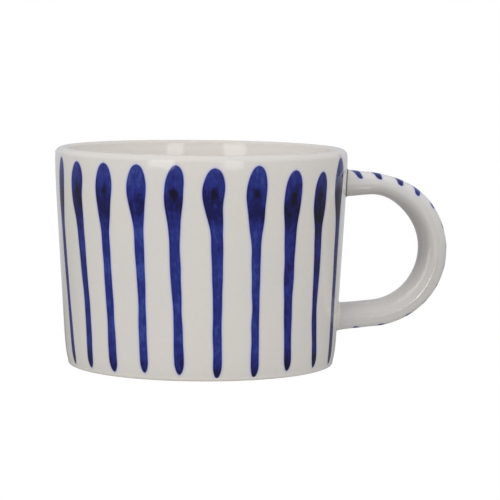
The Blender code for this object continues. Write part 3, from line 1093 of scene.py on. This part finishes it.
to_camera = node(tree, "ShaderNodeLightPath", "Is Camera Ray")
seen = node(tree, "ShaderNodeMixShader", 0, {0: in_glaze, 1: lit, 2: mirrored})
seen = node(tree, "ShaderNodeMixShader", 0, {0: to_camera, 1: seen, 2: shown})
tree.links.new(seen, tree.nodes.new("ShaderNodeOutputWorld").inputs[0])

BOX_DISTANCE = 1.0
BOX_WARMTH = (1.0, 0.98, 0.95)


def hang_soft_box(name, from_deg, to_deg, low, high, radiance):
    """An upright soft box that fills these angles round the cup, between two heights in metres."""
    facing = math.radians((from_deg + to_deg) / 2)
    width = 2 * BOX_DISTANCE * math.tan(math.radians(abs(to_deg - from_deg) / 2))
    light = bpy.data.lights.new(name, "AREA")
    light.shape = "RECTANGLE"
    light.size = width
    light.size_y = high - low
    light.energy = radiance * math.pi * width * (high - low)
    light.color = BOX_WARMTH
    lamp = bpy.data.objects.new(name, light)
    bpy.context.scene.collection.objects.link(lamp)
    lamp.location = (
        AXIS_X + BOX_DISTANCE * math.sin(facing),
        -BOX_DISTANCE * math.cos(facing),
        (low + high) / 2,
    )
    aim = Vector((AXIS_X, 0.0, (low + high) / 2)) - lamp.location
    lamp.rotation_euler = aim.to_track_quat("-Z", "Y").to_euler()
    lamp.visible_camera = False
    return lamp


left_box = hang_soft_box("left_soft_box", -41.0, -20.0, 0.0, 0.78, 2.75)
right_box = hang_soft_box("right_soft_box", 17.0, 32.0, 0.0, 0.60, 2.5)

PANEL_SIZE, PANEL_HEIGHT, PANEL_RADIANCE = 1.2, 1.1, 1.3
panel_light = bpy.data.lights.new("ceiling_panel", "AREA")
panel_light.shape = "SQUARE"
panel_light.size = PANEL_SIZE
panel_light.energy = PANEL_RADIANCE * math.pi * PANEL_SIZE**2
ceiling_panel = bpy.data.objects.new("ceiling_panel", panel_light)
bpy.context.scene.collection.objects.link(ceiling_panel)
ceiling_panel.location = (AXIS_X, 0.0, PANEL_HEIGHT)
ceiling_panel.visible_camera = False
ceiling_panel.visible_glossy = False
print("lights:", left_box.name, right_box.name, ceiling_panel.name)

# %% [markdown]
# ## One extra light
# Soft light alone leaves the handle's trimmed edges without their thin glints. Only the handle and its
# dabs receive this card, through light linking, and only in their gloss. It isn't soft studio light:
# leave out the next cell for that, and nothing after it needs a change.

# %% Lay the bright card
CARD_LONG, CARD_WIDE, CARD_TURN_DEG, CARD_RADIANCE = 0.17, 0.03, -53.0, 7.0
CARD_ASIDE, CARD_FRONT, CARD_RISE = 0.130, 0.105, 0.002
card_light = bpy.data.lights.new("low_card", "AREA")
card_light.shape = "RECTANGLE"
card_light.size = CARD_LONG
card_light.size_y = CARD_WIDE
card_light.energy = CARD_RADIANCE * math.pi * CARD_LONG * CARD_WIDE
low_card = bpy.data.objects.new("low_card", card_light)
bpy.context.scene.collection.objects.link(low_card)
low_card.location = (AXIS_X + CARD_ASIDE, -CARD_FRONT, CARD_RISE)
low_card.rotation_euler = (math.pi, 0.0, math.radians(CARD_TURN_DEG))
low_card.visible_camera = False
low_card.visible_diffuse = False
handle_pieces = bpy.data.collections.new("handle_pieces")
for piece in [ring_handle, *dabs]:
    handle_pieces.objects.link(piece)
low_card.light_linking.receiver_collection = handle_pieces
print("card:", low_card.name)

# %% [markdown]
# ## The camera
# A long lens from a little above the rim: the far rim stays in sight, and the sides of the cup hardly
# run together. The camera looks down five and a half degrees and turns one degree towards the handle,
# so that the cup and its handle share the picture.

# %% Place the camera
CAMERA_BACK, CAMERA_UP = 0.8246, 0.11664
LOOK_DOWN_DEG, LOOK_ASIDE_DEG, ROLL_DEG = 5.506, 1.106, 0.504
LENS, SENSOR = 182.6, 36.0

camera_data = bpy.data.cameras.new("camera")
camera_data.lens = LENS
camera_data.sensor_width = SENSOR
camera = bpy.data.objects.new("camera", camera_data)
bpy.context.scene.collection.objects.link(camera)
aside = Matrix.Rotation(-math.radians(LOOK_ASIDE_DEG), 4, "Z")
down = Matrix.Rotation(math.radians(90.0 - LOOK_DOWN_DEG), 4, "X")
roll = Matrix.Rotation(math.radians(ROLL_DEG), 4, "Z")
camera.matrix_world = Matrix.Translation((AXIS_X, -CAMERA_BACK, CAMERA_UP)) @ aside @ down @ roll
bpy.context.scene.camera = camera
bpy.context.scene.view_settings.view_transform = "Standard"
print("camera at", [round(part, 3) for part in camera.location])
